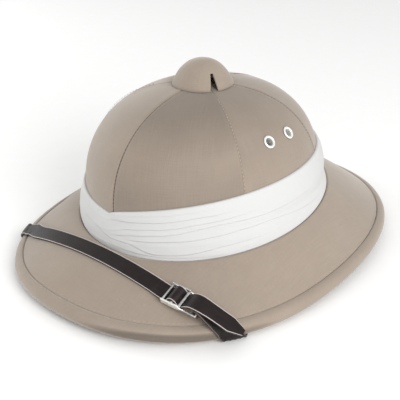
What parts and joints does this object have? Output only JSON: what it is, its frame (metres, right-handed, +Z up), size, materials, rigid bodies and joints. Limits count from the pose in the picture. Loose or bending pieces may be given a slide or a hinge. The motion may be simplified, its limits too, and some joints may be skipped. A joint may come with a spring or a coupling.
{
  "type": "pith helmet",
  "caption": "Pith sun helmet with a domed crown of cloth gores, wide sloping brim, pleated white band, slotted vent cap, eyelets and a buckled leather chin strap worn over the brim.",
  "frame": {"origin": "on the surface the helmet rests on, under the middle of its bounding box", "axes": "+Z up; the front of the helmet faces -Y; the wearer's left is +X"},
  "size_m": [0.273, 0.35, 0.1555],
  "materials": {
    "khaki_cloth": "khaki drill, fine matte weave",
    "white_cloth": "off-white fine cotton, matte",
    "pith": "pressed pith board, bare and matte",
    "strap_leather": "dark brown dyed leather with a soft sheen and pale cut edges",
    "nickel": "nickel-plated, bright"
  },
  "bodies": {
    "root": {"crown_shell": "pith", "crown_panel_1": "khaki_cloth", "crown_panel_2": "khaki_cloth", "crown_panel_3": "khaki_cloth", "crown_panel_4": "khaki_cloth", "crown_panel_5": "khaki_cloth", "crown_panel_6": "khaki_cloth", "brim": "khaki_cloth", "brim_binding": "khaki_cloth", "pugaree": "white_cloth", "vent_cap": "khaki_cloth", "vent_post": "nickel", "eyelet_1": "nickel", "eyelet_2": "nickel", "eyelet_3": "nickel", "eyelet_4": "nickel", "strap_long": "strap_leather", "strap_short": "strap_leather", "buckle": "nickel", "strap_rivet_left": "nickel", "strap_rivet_right": "nickel"}
  },
  "joints": []
}
